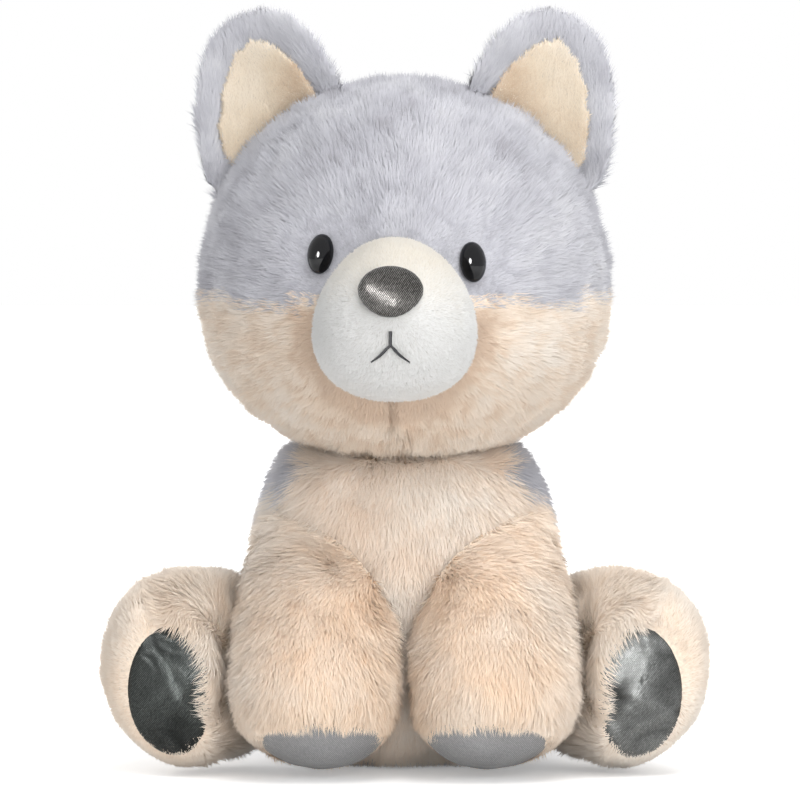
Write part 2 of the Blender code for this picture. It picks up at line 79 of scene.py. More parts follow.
def addObject(name, mesh):
    made = bpy.data.objects.new(name, mesh)
    bpy.context.scene.collection.objects.link(made)
    return made


def meshOf(name, shape):
    mesh = bpy.data.meshes.new(name)
    shape.to_mesh(mesh)
    shape.free()
    mesh.shade_smooth()
    return mesh


def quadBall(cuts):
    ball = bmesh.new()
    bmesh.ops.create_cube(ball, size=2.0)
    bmesh.ops.subdivide_edges(ball, edges=ball.edges, cuts=cuts, use_grid_fill=True)
    for vert in ball.verts:
        vert.co = Vector([math.tan(c * math.pi / 4) for c in vert.co]).normalized()
    return ball


def smoothed(shape, rounds):
    for _ in range(rounds):
        bmesh.ops.smooth_vert(shape, verts=shape.verts, factor=0.5, use_axis_x=True,
                              use_axis_y=True, use_axis_z=True)


def treeOf(names):
    # A search tree over some nodes, with the place in the list of each face's node
    owners = []
    shape = bmesh.new()
    for index, node in enumerate(names):
        shape.from_mesh(nodes[node].data)
        owners += [index] * (len(shape.faces) - len(owners))
    return shape, BVHTree.FromBMesh(shape), owners


farOut = 2.5
farBelow = 0.9


def drapedSkin(name, covers, inner, bare, values):
    # A quad ball drawn in until it lies on the covers, or on what is inside where a cover is open.
    # The zone of a vertex is the place of its cover in the list.
    names = covers + bare + inner
    coverShape, coverTree, coverOwners = treeOf(covers)
    coverShape.free()
    shape, tree, owners = treeOf(names)
    low = Vector([min(v.co[k] for v in shape.verts) for k in range(3)])
    high = Vector([max(v.co[k] for v in shape.verts) for k in range(3)])
    shape.free()
    centre = (low + high) / 2
    reach = (high - low) / 2
    ball = quadBall(values["cuts"])
    zone = ball.verts.layers.int.new("zone")
    for vert in ball.verts:
        away = Vector([vert.co[k] * reach[k] for k in range(3)])
        outside = centre + away * farOut
        place, _, face, _ = tree.ray_cast(outside, -away.normalized())
        vert.co = place if place else centre + away * farBelow
        vert[zone] = owners[face] if place else len(covers)
        if place and owners[face] >= len(covers) + len(bare):
            near, _, nearFace, distance = coverTree.find_nearest(place)
            vert[zone] = coverOwners[nearFace] if distance < values["overlap"] else len(covers)
            vert.co = place + away.normalized() * values["tuck"]
    smoothed(ball, values["smooth"])
    ball.normal_update()
    for vert in ball.verts:
        vert.co -= vert.normal * values["inset"]
    ball.normal_update()
    return addObject(name, meshOf(name, ball))


def arrayOf(mesh, attribute, size):
    flat = np.zeros(len(mesh.vertices) * size, np.float32)
    mesh.vertices.foreach_get(attribute, flat)
    return flat.reshape(-1, size)


def storeVector(mesh, name, values):
    made = mesh.attributes.new(name, "FLOAT_VECTOR", "POINT")
    made.data.foreach_set("vector", np.asarray(values, np.float32).ravel())


def storeFloat(mesh, name, values):
    made = mesh.attributes.new(name, "FLOAT", "POINT")
    made.data.foreach_set("value", np.full(len(mesh.vertices), values, np.float32))


def movePlaces(mesh, places):
    mesh.vertices.foreach_set("co", np.asarray(places, np.float32).ravel())
    mesh.update()


def zoneOf(mesh):
    flat = np.zeros(len(mesh.vertices), np.int32)
    mesh.attributes["zone"].data.foreach_get("value", flat)
    return flat


def unit(rows):
    return rows / np.maximum(np.linalg.norm(rows, axis=1, keepdims=True), 1e-9)


def alongSkin(rows, normals):
    # The part of each direction that lies in the skin
    return unit(rows - normals * np.sum(rows * normals, axis=1, keepdims=True))


def ramp(values, start, end):
    return np.clip((values - start) / (end - start), 0.0, 1.0)


# Shader building

white = (1.0, 1.0, 1.0, 1.0)


def newMaterial(name, inputs):
    made = bpy.data.materials.new(name)
    made.use_nodes = True
    made.node_tree.nodes.clear()
    output = addNode(made.node_tree, "ShaderNodeOutputMaterial")
    shader = addNode(made.node_tree, "ShaderNodeBsdfPrincipled", inputs=inputs)
    made.node_tree.links.new(shader.outputs["BSDF"], output.inputs["Surface"])
    return made, made.node_tree, shader


def addNode(tree, kind, settings=None, inputs=None):
    made = tree.nodes.new(kind)
    for key, value in (settings or {}).items():
        setattr(made, key, value)
    for key, value in (inputs or {}).items():
        if isinstance(value, bpy.types.NodeSocket):
            tree.links.new(value, made.inputs[key])
        else:
            made.inputs[key].default_value = value
    return made


def rgba(colour):
    return (*colour, 1.0)


def objectPlace(tree):
    return addNode(tree, "ShaderNodeTexCoord").outputs["Object"]


def noise(tree, place, scale, detail, distortion=0.0):
    return addNode(tree, "ShaderNodeTexNoise", inputs={
        "Vector": place, "Scale": scale, "Detail": detail, "Distortion": distortion}).outputs


def blended(tree, factor, stops):
    # A run of colours, each giving way to the next between their two places
    colour = stops[0][1]
    for (start, _), (end, after) in zip(stops, stops[1:]):
        share = addNode(tree, "ShaderNodeMapRange",
                        inputs={"Value": factor, "From Min": start, "From Max": end})
        colour = addNode(tree, "ShaderNodeMix", {"data_type": "RGBA"},
                         {0: share.outputs["Result"], 6: colour, 7: after}).outputs[2]
    return colour


def effectGroup(name, inputs, outputs):
    # An empty shader group, with what goes in and what has to be linked to come out
    tree = bpy.data.node_groups.new(name, "ShaderNodeTree")
    for way, sockets in (("INPUT", inputs), ("OUTPUT", outputs)):
        for label, kind in sockets:
            tree.interface.new_socket(label, in_out=way, socket_type="NodeSocket" + kind)
    return tree, tree.nodes.new("NodeGroupInput").outputs, tree.nodes.new("NodeGroupOutput").inputs


def makeStrandColour():
    # Colour by strand across the lay map, and from root to tip up it, darker towards the root as painted
    # shade deep in the pile
    tree, given, leave = effectGroup(
        "strandColour", [("Deep", "Color"), ("Low", "Color"), ("Low At", "Float"), ("Mid", "Color"),
                         ("Mid At", "Float"), ("High", "Color"), ("Root", "Color"), ("Middle", "Color")],
        [("Colour", "Color")])
    lay = addNode(tree, "ShaderNodeUVMap", {"uv_map": "furLay"})
    apart = addNode(tree, "ShaderNodeSeparateXYZ", inputs={0: lay.outputs["UV"]})
    tint = blended(tree, apart.outputs["X"], [(0.0, given["Deep"]), (given["Low At"], given["Low"]),
                                              (given["Mid At"], given["Mid"]), (1.0, given["High"])])
    # Root and Middle darken the lower part of each strand: painted shade
    depth = blended(tree, apart.outputs["Y"], [(0.0, given["Root"]), (0.55, given["Middle"]), (1.0, white)])
    both = addNode(tree, "ShaderNodeVectorMath", {"operation": "MULTIPLY"}, {0: tint, 1: depth})
    tree.links.new(both.outputs[0], leave["Colour"])
    return tree


def makeKnit():
    # The knitted backing, seen only between the strands
    tree, given, leave = effectGroup("knit", [("Colour", "Color")],
                                     [("Colour", "Color"), ("Normal", "Vector")])
    loops = noise(tree, objectPlace(tree), 900.0, 3.0)["Fac"]
    dark = addNode(tree, "ShaderNodeVectorMath", {"operation": "SCALE"}, {0: given["Colour"], "Scale": 0.72})
    tone = blended(tree, loops, [(0.3, dark.outputs[0]), (0.7, given["Colour"])])
    bump = addNode(tree, "ShaderNodeBump", inputs={"Height": loops, "Strength": 0.4, "Distance": 0.0004})
    tree.links.new(tone, leave["Colour"])
    tree.links.new(bump.outputs["Normal"], leave["Normal"])
    return tree


def makeWeave():
    # Metallic cloth: twill that glints thread by thread, with soft folds whose hollows are darkened as
    # painted shade
    tree, given, leave = effectGroup(
        "weave", [("Turn", "Float"), ("Threads", "Float"), ("Folds", "Float"), ("Crease", "Float"),
                  ("FoldShade", "Float"), ("Dark", "Color"), ("Light", "Color")],
        [("Colour", "Color"), ("Normal", "Vector")])
    place = objectPlace(tree)
    turn = addNode(tree, "ShaderNodeCombineXYZ", inputs={"Y": given["Turn"]})
    turned = addNode(tree, "ShaderNodeMapping", inputs={"Vector": place, "Rotation": turn.outputs[0]})
    twill = addNode(tree, "ShaderNodeTexWave", {"wave_type": "BANDS", "bands_direction": "X"},
                    {"Vector": turned.outputs[0], "Scale": given["Threads"], "Distortion": 1.5, "Detail": 2.0,
                     "Detail Scale": 2.0})
    stretched = addNode(tree, "ShaderNodeMapping",
                        inputs={"Vector": turned.outputs[0], "Scale": (3.0, 1.0, 1.0)})
    glint = noise(tree, stretched.outputs[0], 1100.0, 1.0)["Fac"]
    weave = addNode(tree, "ShaderNodeMath", {"operation": "MULTIPLY"},
                    {0: twill.outputs["Fac"], 1: glint}).outputs[0]
    folds = noise(tree, place, given["Folds"], 2.0, 0.8)["Fac"]
    tone = blended(tree, weave, [(0.1, given["Dark"]), (0.6, given["Light"])])
    # Painted shade darkens the hollows of the folds
    foldshade = blended(tree, folds, [(0.3, given["FoldShade"]), (0.65, white)])
    both = addNode(tree, "ShaderNodeVectorMath", {"operation": "MULTIPLY"}, {0: tone, 1: foldshade})
    crease = addNode(tree, "ShaderNodeBump",
                     inputs={"Height": folds, "Strength": given["Crease"], "Distance": 0.0015})
    bump = addNode(tree, "ShaderNodeBump", inputs={"Height": weave, "Strength": 0.6, "Distance": 0.00015,
                                                  "Normal": crease.outputs["Normal"]})
    tree.links.new(both.outputs[0], leave["Colour"])
    tree.links.new(bump.outputs["Normal"], leave["Normal"])
    return tree


strandColour = makeStrandColour()
knit = makeKnit()
weave = makeWeave()


def pileMaterial(name, values):
    made, tree, shader = newMaterial(name, {
        "Roughness": values["roughness"], "Specular IOR Level": values["specular"],
        "Sheen Weight": values["sheen"], "Sheen Roughness": 0.5})
    deep, lowAt, low, midAt, mid, high = values["tints"]
    colour = addNode(tree, "ShaderNodeGroup", {"node_tree": strandColour},
                     {"Deep": rgba(deep), "Low": rgba(low), "Low At": lowAt, "Mid": rgba(mid),
                      "Mid At": midAt, "High": rgba(high), "Root": rgba(values["root"]),
                      "Middle": rgba(values["middle"])})
    tree.links.new(colour.outputs["Colour"], shader.inputs["Base Color"])
    if values["dense"]:
        # A blade seen from its back is lit as the pile that it lies in
        shape = addNode(tree, "ShaderNodeNewGeometry")
        turn = addNode(tree, "ShaderNodeMath", {"operation": "MULTIPLY_ADD"},
                       {0: shape.outputs["Backfacing"], 1: -2.0, 2: 1.0})
        kept = addNode(tree, "ShaderNodeVectorMath", {"operation": "SCALE"},
                       {0: shape.outputs["Normal"], "Scale": turn.outputs[0]})
        tree.links.new(kept.outputs[0], shader.inputs["Normal"])
    return made


def clothMaterial(name, group, effect, inputs):
    # A material whose colour and bumps come from one of the groups
    made, tree, shader = newMaterial(name, inputs)
    cloth = addNode(tree, "ShaderNodeGroup", {"node_tree": group}, effect)
    tree.links.new(cloth.outputs["Colour"], shader.inputs["Base Color"])
    tree.links.new(cloth.outputs["Normal"], shader.inputs["Normal"])
    return made


def skinMaterial(name, colour):
    return clothMaterial(name, knit, {"Colour": rgba(colour)}, {"Roughness": 0.95, "Specular IOR Level": 0.1})


def wovenMaterial(name, values):
    effect = {label: values[label.lower()] for label in ("Turn", "Threads", "Folds", "Crease", "FoldShade")}
    effect.update({"Dark": rgba(values["dark"]), "Light": rgba(values["light"])})
    return clothMaterial(name, weave, effect,
                         {"Metallic": values["metallic"], "Roughness": values["roughness"]})


# The pile: a node tree that grows straight blades from a skin, one triangle each

pileInputs = [("Density", "Float"), ("Length", "Float"), ("Width", "Float"), ("Rise", "Float"),
              ("Clump", "Float"), ("Clump Scale", "Float"), ("Stray", "Float"), ("Patch Scale", "Float"),
              ("Patch", "Float"), ("Crease", "Float"), ("Mottle", "Float"), ("Relief", "Float"),
              ("Seed", "Int"), ("Material", "Material")]
pileFixed = {"shortest": 0.72, "longest": 1.15, "thinnest": 0.35, "widest": 0.6, "facing": 0.25,
             "foldScale": 1.9, "foldSharp": 18.0, "deepest": 0.02, "palest": 0.98, "clumpShade": 0.5}
pileSeeds = {"length": 11, "stray": 5, "facing": 9, "width": 21, "mottle": 31, "relief": 41}


def pileTree():
    tree = bpy.data.node_groups.new("pile", "GeometryNodeTree")
    socket = tree.interface.new_socket
    socket("Geometry", in_out="INPUT", socket_type="NodeSocketGeometry")
    for name, kind in pileInputs:
        socket(name, in_out="INPUT", socket_type="NodeSocket" + kind)
    socket("Geometry", in_out="OUTPUT", socket_type="NodeSocketGeometry")
    given = tree.nodes.new("NodeGroupInput").outputs

    def make(kind, settings=None, inputs=None):
        return addNode(tree, kind, settings, inputs)

    def named(name, kind="FLOAT_VECTOR"):
        made = make("GeometryNodeInputNamedAttribute", {"data_type": kind}, {"Name": name})
        return made.outputs["Attribute"]

    def maths(operation, a, b=0.0):
        return make("ShaderNodeMath", {"operation": operation}, {0: a, 1: b}).outputs[0]

    def times(a, b):
        return maths("MULTIPLY", a, b)

    def vectors(operation, a, b=(0.0, 0.0, 0.0)):
        return make("ShaderNodeVectorMath", {"operation": operation}, {0: a, 1: b}).outputs[0]

    def added(a, b):
        return vectors("ADD", a, b)

    def scaled(a, factor):
        return make("ShaderNodeVectorMath", {"operation": "SCALE"}, {0: a, "Scale": factor}).outputs[0]

    def store(geometry, name, value, kind="FLOAT_VECTOR", domain="POINT"):
        return make("GeometryNodeStoreNamedAttribute", {"data_type": kind, "domain": domain},
                    {"Geometry": geometry, "Name": name, "Value": value}).outputs["Geometry"]

    def randomValue(low, high, use):
        return make("FunctionNodeRandomValue", {"data_type": "FLOAT"},
                    {2: low, 3: high, "Seed": pileSeeds[use]}).outputs[1]

    def randomVector(use):
        return make("FunctionNodeRandomValue", {"data_type": "FLOAT_VECTOR"},
                    {0: (-1.0, -1.0, -1.0), 1: (1.0, 1.0, 1.0), "Seed": pileSeeds[use]}).outputs[0]

    # Roots over the zones that the skin's cover mask leaves
    density = times(given["Density"], named("cover", "FLOAT"))
    spread = make("GeometryNodeDistributePointsOnFaces", {"distribute_method": "RANDOM"},
                  {"Mesh": given["Geometry"], "Density": density, "Seed": given["Seed"]})
    place = make("GeometryNodeInputPosition").outputs[0]
    normal = named("skinNormal")
    varied = randomValue(pileFixed["shortest"], pileFixed["longest"], "length")
    length = times(times(given["Length"], named("pile", "FLOAT")), varied)
    swirls = noise(tree, place, given["Clump Scale"], 2.0)["Color"]
    clump = scaled(vectors("SUBTRACT", swirls, (0.5, 0.5, 0.5)), given["Clump"])
    stray = scaled(randomVector("stray"), given["Stray"])
    lean = added(added(scaled(normal, given["Rise"]), named("flow")), added(clump, stray))
    lean = vectors("NORMALIZE", lean)
    facing = added(normal, scaled(randomVector("facing"), pileFixed["facing"]))
    bladeSide = vectors("NORMALIZE", vectors("CROSS_PRODUCT", lean, facing))
    halfWidth = times(given["Width"], randomValue(pileFixed["thinnest"], pileFixed["widest"], "width"))

    # Tint: broad patches, single strands that differ, dark creases of painted shade between the clumps, and
    # the tone stored on the skin
    patch = noise(tree, place, given["Patch Scale"], 2.0)["Fac"]
    mottle = times(randomValue(-1.0, 1.0, "mottle"), given["Mottle"])
    tint = maths("ADD", times(maths("SUBTRACT", patch, 0.5), given["Patch"]), mottle)
    foldScale = times(given["Patch Scale"], pileFixed["foldScale"])
    folds = noise(tree, place, foldScale, 3.0, 0.6)["Fac"]
    # Painted shade darkens the thin creases between the clumps
    creaseShade = times(maths("ABSOLUTE", maths("SUBTRACT", folds, 0.5)), pileFixed["foldSharp"])
    creaseShade = maths("MAXIMUM", maths("SUBTRACT", 1.0, creaseShade), 0.0)
    tint = maths("ADD", tint, maths("SUBTRACT", 0.5, times(creaseShade, given["Crease"])))
    tint = maths("ADD", tint, named("tone", "FLOAT"))
    tint = maths("MINIMUM", maths("MAXIMUM", tint, pileFixed["deepest"]), pileFixed["palest"])
    relief = added(scaled(clump, pileFixed["clumpShade"]), scaled(randomVector("relief"), given["Relief"]))
    relief = vectors("NORMALIZE", added(normal, relief))
    points = store(spread.outputs["Points"], "root", place)
    points = store(points, "arm", scaled(lean, length))
    points = store(points, "across", scaled(bladeSide, halfWidth))
    points = store(points, "tint", tint, "FLOAT")
    points = store(points, "shade", relief)

    # One blade: a strip pinched to a point
    grid = make("GeometryNodeMeshGrid",
                inputs={"Size X": 2.0, "Size Y": 1.0, "Vertices X": 2, "Vertices Y": 2})
    apart = make("ShaderNodeSeparateXYZ", inputs={0: place})
    rise = maths("ADD", apart.outputs["Y"], 0.5)
    blade = store(grid.outputs["Mesh"], "rise", rise, "FLOAT")
    narrowing = maths("SUBTRACT", 1.0, named("rise", "FLOAT"))
    blade = store(blade, "offset", times(apart.outputs["X"], narrowing), "FLOAT")
    pinched = make("ShaderNodeCombineXYZ", inputs={"X": named("offset", "FLOAT"), "Y": rise})
    blade = make("GeometryNodeSetPosition", inputs={"Geometry": blade, "Position": pinched.outputs[0]})
    blade = make("GeometryNodeMergeByDistance", inputs={"Geometry": blade.outputs[0], "Distance": 0.001})
    laid = make("GeometryNodeInstanceOnPoints", inputs={"Points": points, "Instance": blade.outputs[0]})
    real = make("GeometryNodeRealizeInstances", inputs={"Geometry": laid.outputs[0]}).outputs[0]

    # Each blade laid from its root along its lean
    upBlade = named("rise", "FLOAT")
    sideways = scaled(named("across"), named("offset", "FLOAT"))
    spot = added(named("root"), added(scaled(named("arm"), upBlade), sideways))
    shaped = make("GeometryNodeSetPosition", inputs={"Geometry": real, "Position": spot}).outputs[0]
    lay = make("ShaderNodeCombineXYZ", inputs={"X": named("tint", "FLOAT"), "Y": upBlade}).outputs[0]
    for mapName in ("furLay", "OFBake"):
        shaped = store(shaped, mapName, lay, "FLOAT2", "CORNER")
    for name in ("root", "arm", "across", "tint", "rise", "offset", "flow", "pile", "cover", "tone",
                 "skinNormal", "zone"):
        shaped = make("GeometryNodeRemoveAttribute", inputs={"Geometry": shaped, "Name": name}).outputs[0]
    finished = make("GeometryNodeSetMaterial", inputs={"Geometry": shaped, "Material": given["Material"]})
    leave = tree.nodes.new("NodeGroupOutput")
    tree.links.new(finished.outputs[0], leave.inputs[0])
    return tree


pile = pileTree()
floorLift = 0.0002


def growPile(name, skin, values, material):
    # The blades as a plain mesh, shaded as the soft surface that they make together
    carrier = addObject(name + "Carrier", skin.data.copy())
    step = carrier.modifiers.new("pile", "NODES")
    step.node_group = pile
    given = {item.name: item.identifier for item in pile.interface.items_tree if item.in_out == "INPUT"}
    for label, _ in pileInputs:
        step[given[label]] = material if label == "Material" else values[label]
    graph = bpy.context.evaluated_depsgraph_get()
    mesh = bpy.data.meshes.new_from_object(carrier.evaluated_get(graph))
    bpy.data.objects.remove(carrier, do_unlink=True)
    shade = np.zeros(len(mesh.vertices) * 3, np.float32)
    mesh.attributes["shade"].data.foreach_get("vector", shade)
    mesh.attributes.remove(mesh.attributes["shade"])
    # Blades that reach the floor lie flat on it
    places = arrayOf(mesh, "co", 3)
    places[:, 2] = np.maximum(places[:, 2], floorLift)
    movePlaces(mesh, places)
    mesh.shade_smooth()
    mesh.normals_split_custom_set_from_vertices(shade.reshape(-1, 3))
    made = addObject(name, mesh)
    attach(made, "root")
    mesh.calc_loop_triangles()
    print(name, len(mesh.loop_triangles), "triangles")


def groom(skin, zones, flowAt, near=None, tone=0.0):
    # Stores on the skin what the pile reads: flow, length, cover and tone
    mesh = skin.data
    places = arrayOf(mesh, "co", 3)
    normals = arrayOf(mesh, "normal", 3)
    storeVector(mesh, "skinNormal", normals)
    storeVector(mesh, "flow", alongSkin(flowAt(places), normals))
    storeFloat(mesh, "cover", np.isin(zoneOf(mesh), zones))
    lengths, tones = near(places) if near else (1.0, tone)
    storeFloat(mesh, "pile", lengths)
    storeFloat(mesh, "tone", tones)


def regroom(skin, zones):
    # Moves the cover mask to other zones
    mask = np.isin(zoneOf(skin.data), zones).astype(np.float32)
    skin.data.attributes["cover"].data.foreach_set("value", mask)


# Strand colours from the deepest to the palest, and the places of the two between
greyTints = ((0.38, 0.37, 0.40), 0.35, (0.51, 0.51, 0.55), 0.7, (0.62, 0.62, 0.655), (0.74, 0.74, 0.75))
creamTints = ((0.83, 0.64, 0.49), 0.3, (0.90, 0.75, 0.61), 0.65, (0.92, 0.83, 0.73), (0.92, 0.88, 0.82))
paleTints = ((0.70, 0.55, 0.43), 0.3, (0.82, 0.70, 0.58), 0.65, (0.86, 0.78, 0.69), (0.87, 0.83, 0.77))
# The chest's tints are a lighter copy of the cream: painted light in the shade under the chin
chestTints = ((0.87, 0.69, 0.54), 0.3, (0.93, 0.79, 0.66), 0.65, (0.94, 0.86, 0.77), (0.94, 0.90, 0.85))
armTints = ((0.87, 0.64, 0.46), 0.3, (0.94, 0.76, 0.59), 0.65, (0.95, 0.82, 0.69), (0.95, 0.87, 0.78))
whiteTints = ((0.68, 0.60, 0.48), 0.4, (0.76, 0.71, 0.63), 0.7, (0.80, 0.80, 0.79), (0.83, 0.83, 0.83))
liningTints = ((0.66, 0.50, 0.36), 0.5, (0.84, 0.725, 0.58), 0.75, (0.865, 0.7675, 0.64), (0.89, 0.81, 0.70))
# root and middle darken each strand towards its root: painted shade deep in the pile
greyLook = {"tints": greyTints, "root": (0.86, 0.86, 0.88), "middle": (0.96, 0.96, 0.97),
            "roughness": 0.85, "specular": 0.15, "sheen": 0.1, "dense": True}
creamLook = dict(greyLook, tints=creamTints, root=(0.90, 0.84, 0.78), middle=(0.97, 0.955, 0.94), dense=False)
whiteLook = dict(greyLook, tints=whiteTints, root=(0.86, 0.85, 0.83), middle=(0.95, 0.95, 0.94),
                 roughness=0.9, specular=0.1)

greyPile = pileMaterial("greyPile", greyLook)
creamPile = pileMaterial("creamPile", creamLook)
palePile = pileMaterial("palePile", dict(creamLook, tints=paleTints))
chestPileLit = pileMaterial("chestPileLit", dict(creamLook, tints=chestTints))
armPile = pileMaterial("armPile", dict(creamLook, tints=armTints))
whitePile = pileMaterial("whitePile", whiteLook)
liningPile = pileMaterial("liningPile", dict(whiteLook, tints=liningTints, root=(0.86, 0.82, 0.78),
                                             middle=(0.95, 0.94, 0.92)))
greySkin = skinMaterial("greySkin", (0.54, 0.54, 0.58))
creamSkin = skinMaterial("creamSkin", (0.84, 0.71, 0.58))
whiteSkin = skinMaterial("whiteSkin", (0.82, 0.81, 0.78))
liningSkin = skinMaterial("liningSkin", (0.84, 0.73, 0.60))


def clad(piece, material, replaced):
    piece.data.materials.clear()
    piece.data.materials.append(material)
    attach(piece, "root")
    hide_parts(*replaced)


def dress(skin, material, replaced, other=None, zones=()):
    # Soft cloth, with another material under some of the covers
    clad(skin, material, replaced)
    if other:
        skin.data.materials.append(other)
        marks = zoneOf(skin.data)
        for face in skin.data.polygons:
            face.material_index = int(marks[face.vertices[0]] in zones)


def centreOf(name):
    low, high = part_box(name)
    return (Vector(low) + Vector(high)) / 2


# Head
headValues = {"cuts": 22, "smooth": 6, "inset": 0.0026, "overlap": 0.006, "tuck": 0.005}
crownPile = {"Density": 8.9e6, "Length": 0.0045, "Width": 0.00036, "Rise": 0.6, "Clump": 1.7,
             "Clump Scale": 150.0, "Stray": 0.3, "Patch Scale": 60.0, "Patch": 1.2, "Crease": 0.25,
             "Mottle": 0.07, "Relief": 0.13, "Seed": 3}
cheekPile = dict(crownPile, Density=11.0e6, Crease=0.38, Seed=4)

muzzleCentre = centreOf("muzzle_cover")
eyeCentres = [centreOf("eye_" + label) for label in sides]


# Pairs are where something begins and where it is complete
# The last three entries place the painted shadow under the muzzle
headLay = {"back": (0.0, 0.05), "eyeShort": 0.30, "eye": (0.006, 0.018), "muzzleWide": 0.022,
           "muzzleTall": 0.024, "muzzleShort": 0.45, "muzzle": (0.9, 1.6), "paler": 0.05,
           "side": (0.015, 0.035), "muzzleShadow": 0.75, "tuck": (0.95, 1.22), "shadowBelow": 0.002}


def headFlow(places):
    # Away from the muzzle in front, and down at the back
    fromMuzzle = unit(places - np.array(muzzleCentre))
    back = ramp(places[:, 1], *headLay["back"])[:, None]
    return fromMuzzle * (1 - back) + np.array([0.0, 0.0, -1.0]) * back


def grown(share, short):
    # From the short length up to the full one
    return short + (1 - short) * share


def headPile(places):
    # Shorter round the eyes and the muzzle, and darker where it tucks in under the muzzle, as a painted
    # shadow
    front = places[:, 1] < 0
    lengths = np.ones(len(places))
    for centre in eyeCentres:
        away = np.linalg.norm(places[:, [0, 2]] - np.array(centre)[[0, 2]], axis=1)
        short = grown(ramp(away, *headLay["eye"]), headLay["eyeShort"])
        lengths = np.where(front, lengths * short, lengths)
    aside = places - np.array(muzzleCentre)
    away = np.hypot(aside[:, 0] / headLay["muzzleWide"], aside[:, 2] / headLay["muzzleTall"])
    short = grown(ramp(away, *headLay["muzzle"]), headLay["muzzleShort"])
    lengths = np.where(front, lengths * short, lengths)
    paler = ramp(np.abs(places[:, 0]), *headLay["side"])
    # A painted shadow darkens the pile where it tucks in under the muzzle
    below = places[:, 2] < muzzleCentre.z + headLay["shadowBelow"]
    muzzleShadow = (1 - ramp(away, *headLay["tuck"])) * front * below
    return lengths, headLay["paler"] * paler - headLay["muzzleShadow"] * muzzleShadow


def raised(skin, near, inset):
    # Where the pile is short, its backing lies higher, so that the tips stay level
    places = arrayOf(skin.data, "co", 3)
    lengths, _ = near(places)
    movePlaces(skin.data, places + arrayOf(skin.data, "normal", 3) * (inset * (1 - lengths))[:, None])


headCovers = ["head_crown_cover", "head_cheek_cover_left", "head_cheek_cover_right"]
headSkin = drapedSkin("headCloth", headCovers, ["head_filling"], [], headValues)
raised(headSkin, headPile, headValues["inset"])
groom(headSkin, [0], headFlow, headPile)
growPile("headCrownPile", headSkin, crownPile, greyPile)
for number, label in enumerate(sides):
    regroom(headSkin, [1 + number])
    growPile("headCheekPile_" + label, headSkin, cheekPile, palePile)
dress(headSkin, greySkin, headCovers + ["head_filling"], creamSkin, (1, 2))
print("head done")

headShape, headTree, _ = treeOf(headCovers)
headShape.free()
headCentre = (centreOf("head_crown_cover") + centreOf("head_filling")) / 2


def reachIn(skin, near, depth):
    # The edge that is sewn to the head carries on under the head's own pile
    for vert in skin.data.vertices:
        _, _, _, distance = headTree.find_nearest(vert.co)
        share = max(0.0, 1.0 - distance / near)
        vert.co += (headCentre - vert.co).normalized() * depth * share


# Muzzle
muzzleValues = {"cuts": 18, "smooth": 6, "inset": 0.0006, "overlap": 0.004, "tuck": 0.003,
                "reachNear": 0.005, "reachDepth": 0.007, "brow": (-0.002, 0.014), "white": 0.28,
                "cream": 0.34}
muzzlePile = {"Density": 14.5e6, "Length": 0.0013, "Width": 0.00034, "Rise": 0.7, "Clump": 0.7,
              "Clump Scale": 160.0, "Stray": 0.5, "Patch Scale": 50.0, "Patch": 0.3, "Crease": 0.0,
              "Mottle": 0.05, "Relief": 0.08, "Seed": 8}


def muzzleTone(places):
    # White below, going cream towards the brow
    up = ramp(places[:, 2] - muzzleCentre.z, *muzzleValues["brow"])
    return 1.0, muzzleValues["white"] - muzzleValues["cream"] * up


muzzleSkin = drapedSkin("muzzleCloth", ["muzzle_cover"], ["muzzle_filling"], [], muzzleValues)
reachIn(muzzleSkin, muzzleValues["reachNear"], muzzleValues["reachDepth"])
groom(muzzleSkin, [0], headFlow, muzzleTone)
growPile("muzzlePile", muzzleSkin, muzzlePile, whitePile)
dress(muzzleSkin, whiteSkin, ["muzzle_cover", "muzzle_filling"])
print("muzzle done")

# Torso and limbs
bodyValues = {"cuts": 20, "smooth": 5, "inset": 0.0024, "overlap": 0.009, "tuck": 0.006}
limbValues = {"cuts": 18, "smooth": 4, "inset": 0.0024, "overlap": 0.012, "tuck": 0.005}
bodyPile = {"Density": 5.4e6, "Length": 0.0050, "Width": 0.00042, "Rise": 0.5, "Clump": 1.2,
            "Clump Scale": 130.0, "Stray": 0.3, "Patch Scale": 45.0, "Patch": 1.2, "Crease": 0.14,
            "Mottle": 0.07, "Relief": 0.13, "Seed": 12}
limbPile = dict(bodyPile, Density=9.8e6, Width=0.00038, Seed=14)


torsoLay = {"arm": (0.002, 0.007), "armTop": (0.050, 0.062), "longer": 0.45, "besideArm": 0.0075,
            "besideHeight": (0.050, 0.072), "besideFront": -0.002, "chinBottom": 0.080,
            "chinFront": -0.003, "chinHalf": 0.026}


def evenFlow(way):
    # One direction all over
    def flow(places):
        return np.tile(np.array(way), (len(places), 1))
    return flow


armShape, armTree, _ = treeOf(["front_leg_" + label + "_cover" for label in sides])
armShape.free()


def overArms(places):
    # Longer where the torso's pile falls over the tops of the arms
    near = np.array([armTree.find_nearest(Vector(place.tolist()))[3] for place in places])
    over = (1 - ramp(near, *torsoLay["arm"])) * ramp(places[:, 2], *torsoLay["armTop"])
    return 1 + torsoLay["longer"] * over, 0.0


